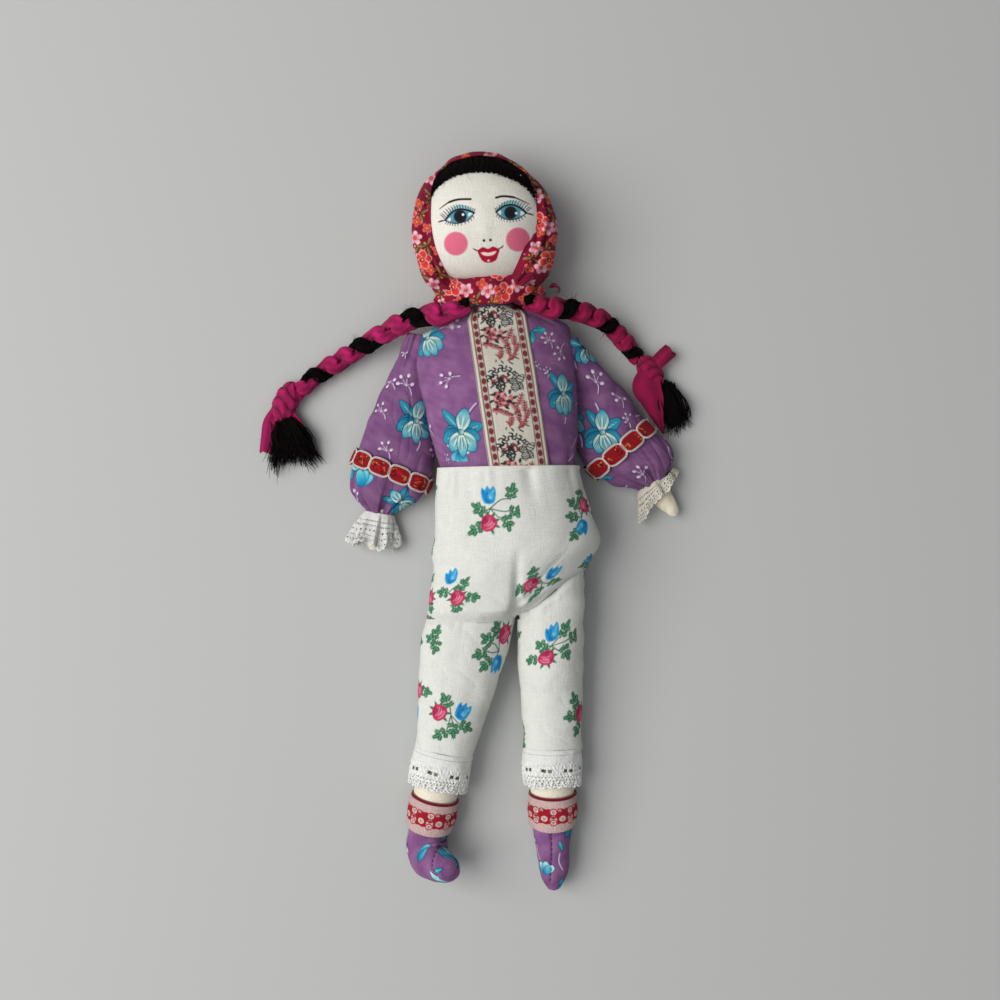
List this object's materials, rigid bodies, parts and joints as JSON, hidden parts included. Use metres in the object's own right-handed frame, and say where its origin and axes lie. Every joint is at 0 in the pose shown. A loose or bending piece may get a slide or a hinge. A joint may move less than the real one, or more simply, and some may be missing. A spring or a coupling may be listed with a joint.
{
  "type": "rag doll",
  "caption": "Soft rag doll on its back: painted face, headscarf, wool braids, flowered blouse with puffed sleeves, sprigged trousers with lace, and cloth shoes; limbs move.",
  "frame": {"origin": "on the flat back of the blouse, about the middle of the chest, with the doll lying on its back", "axes": "+Z out of the face and chest, away from the table; +Y towards the head; +X towards the doll's left hand"},
  "size_m": [0.1845, 0.3131, 0.0436],
  "materials": {
    "calico": "plain woven cotton, unbleached",
    "wool": "dark brown wool, frayed",
    "scarf_print": "crimson cotton with a small flower print",
    "magenta_cloth": "plain magenta cotton strips",
    "purple_print": "purple cotton with turquoise and white flowers",
    "woven_ribbon": "off-white woven ribbon with red and dark figures",
    "red_trim": "red and white woven trim with gold thread",
    "lace": "white cotton lace",
    "sprig_print": "white cotton with rose sprigs",
    "red_ribbon": "pale pink woven ribbon with red checks",
    "thread": "dark sewing thread",
    "elastic": "white braided elastic"
  },
  "bodies": {
    "torso": {"stuffed_body": "calico", "bodice": "purple_print", "front_ribbon": "woven_ribbon", "trouser_seat": "sprig_print", "waist_elastic": "elastic", "crotch_stitch": "thread"},
    "neck": {"neck": "calico"},
    "neck_seam": {"neck_stitching": "thread"},
    "head": {"head": "calico", "hair": "wool", "headscarf": "scarf_print", "scarf_ends": "scarf_print"},
    "right_braid": {"right_braid": "magenta_cloth", "right_braid_tie": "magenta_cloth", "right_braid_tassel": "wool"},
    "right_shoulder": {"right_shoulder_stitching": "thread"},
    "right_arm": {"right_arm": "calico", "right_sleeve": "purple_print", "right_sleeve_trim": "red_trim", "right_lace_cuff": "lace"},
    "right_hand": {"right_hand": "calico"},
    "right_leg": {"right_leg": "calico", "right_trouser_leg": "sprig_print", "right_hem_lace": "lace", "right_ankle_band": "red_ribbon"},
    "right_foot": {"right_shoe": "purple_print"},
    "left_braid": {"left_braid": "magenta_cloth", "left_braid_tie": "magenta_cloth", "left_braid_tassel": "wool"},
    "left_shoulder": {"left_shoulder_stitching": "thread"},
    "left_arm": {"left_arm": "calico", "left_sleeve": "purple_print", "left_sleeve_trim": "red_trim", "left_lace_cuff": "lace"},
    "left_hand": {"left_hand": "calico"},
    "left_leg": {"left_leg": "calico", "left_trouser_leg": "sprig_print", "left_hem_lace": "lace", "left_ankle_band": "red_ribbon"},
    "left_foot": {"left_shoe": "purple_print"}
  },
  "joints": [
    {"name": "neck_turn", "type": "hinge", "parent": "torso", "child": "neck", "pos_m": [-0.00399, 0.04382, 0.015], "axis": [-0.0906, 0.9959, 0], "range_deg": [-35, 35]},
    {"name": "head_tilt", "type": "hinge", "parent": "neck", "child": "neck_seam", "pos_m": [-0.00399, 0.04382, 0.015], "axis": [0, 0, 1], "range_deg": [-10, 10]},
    {"name": "head_nod", "type": "hinge", "parent": "neck_seam", "child": "head", "pos_m": [-0.00399, 0.04382, 0.015], "axis": [0.9959, 0.0906, 0], "range_deg": [-8, 12], "deforming": ["neck_stitching"]},
    {"name": "right_braid_lift", "type": "hinge", "parent": "head", "child": "right_braid", "pos_m": [-0.012, 0.0366, 0.0284], "axis": [-0.6181, 0.7861, 0], "range_deg": [0, 90], "deforming": ["right_braid", "right_braid_tie", "right_braid_tassel"]},
    {"name": "right_arm_raise", "type": "hinge", "parent": "torso", "child": "right_shoulder", "pos_m": [-0.03413, 0.022, 0.0125], "axis": [0, 0, -1], "range_deg": [0, 110], "deforming": ["right_shoulder_stitching", "bodice"]},
    {"name": "right_arm_swing", "type": "hinge", "parent": "right_shoulder", "child": "right_arm", "pos_m": [-0.03413, 0.022, 0.0125], "axis": [-0.9863, 0.165, 0], "range_deg": [-20, 90], "deforming": ["right_sleeve"]},
    {"name": "right_wrist_bend", "type": "hinge", "parent": "right_arm", "child": "right_hand", "pos_m": [-0.05061, -0.04723, 0.00575], "axis": [-0.9863, 0.165, 0], "range_deg": [0, 60], "deforming": ["right_lace_cuff"]},
    {"name": "right_hip", "type": "hinge", "parent": "torso", "child": "right_leg", "pos_m": [-0.012, -0.0953, 0.015], "axis": [-0.9506, -0.3104, 0], "range_deg": [-30, 70], "deforming": ["right_trouser_leg", "trouser_seat"]},
    {"name": "right_ankle", "type": "hinge", "parent": "right_leg", "child": "right_foot", "pos_m": [-0.03036, -0.188, 0.00933], "axis": [-0.981, 0.1942, 0], "range_deg": [-15, 25]},
    {"name": "left_braid_lift", "type": "hinge", "parent": "head", "child": "left_braid", "pos_m": [0.011, 0.0383, 0.0279], "axis": [-0.6325, -0.7746, 0], "range_deg": [0, 90], "deforming": ["left_braid", "left_braid_tie", "left_braid_tassel"]},
    {"name": "left_arm_raise", "type": "hinge", "parent": "torso", "child": "left_shoulder", "pos_m": [0.03033, 0.01983, 0.0125], "axis": [0, 0, 1], "range_deg": [0, 110], "deforming": ["left_shoulder_stitching"]},
    {"name": "left_arm_swing", "type": "hinge", "parent": "left_shoulder", "child": "left_arm", "pos_m": [0.03033, 0.01983, 0.0125], "axis": [-0.91, -0.4147, 0], "range_deg": [-20, 90], "deforming": ["left_sleeve"]},
    {"name": "left_wrist_bend", "type": "hinge", "parent": "left_arm", "child": "left_hand", "pos_m": [0.06603, -0.03533, 0.00586], "axis": [-0.91, -0.4147, 0], "range_deg": [0, 60], "deforming": ["left_lace_cuff"]},
    {"name": "left_hip", "type": "hinge", "parent": "torso", "child": "left_leg", "pos_m": [0.0226, -0.084, 0.015], "axis": [-0.9506, -0.3104, 0], "range_deg": [-30, 70], "deforming": ["left_trouser_leg"]},
    {"name": "left_ankle", "type": "hinge", "parent": "left_leg", "child": "left_foot", "pos_m": [0.02349, -0.1865, 0.00933], "axis": [-1, -0.0087, 0], "range_deg": [-15, 25]}
  ]
}
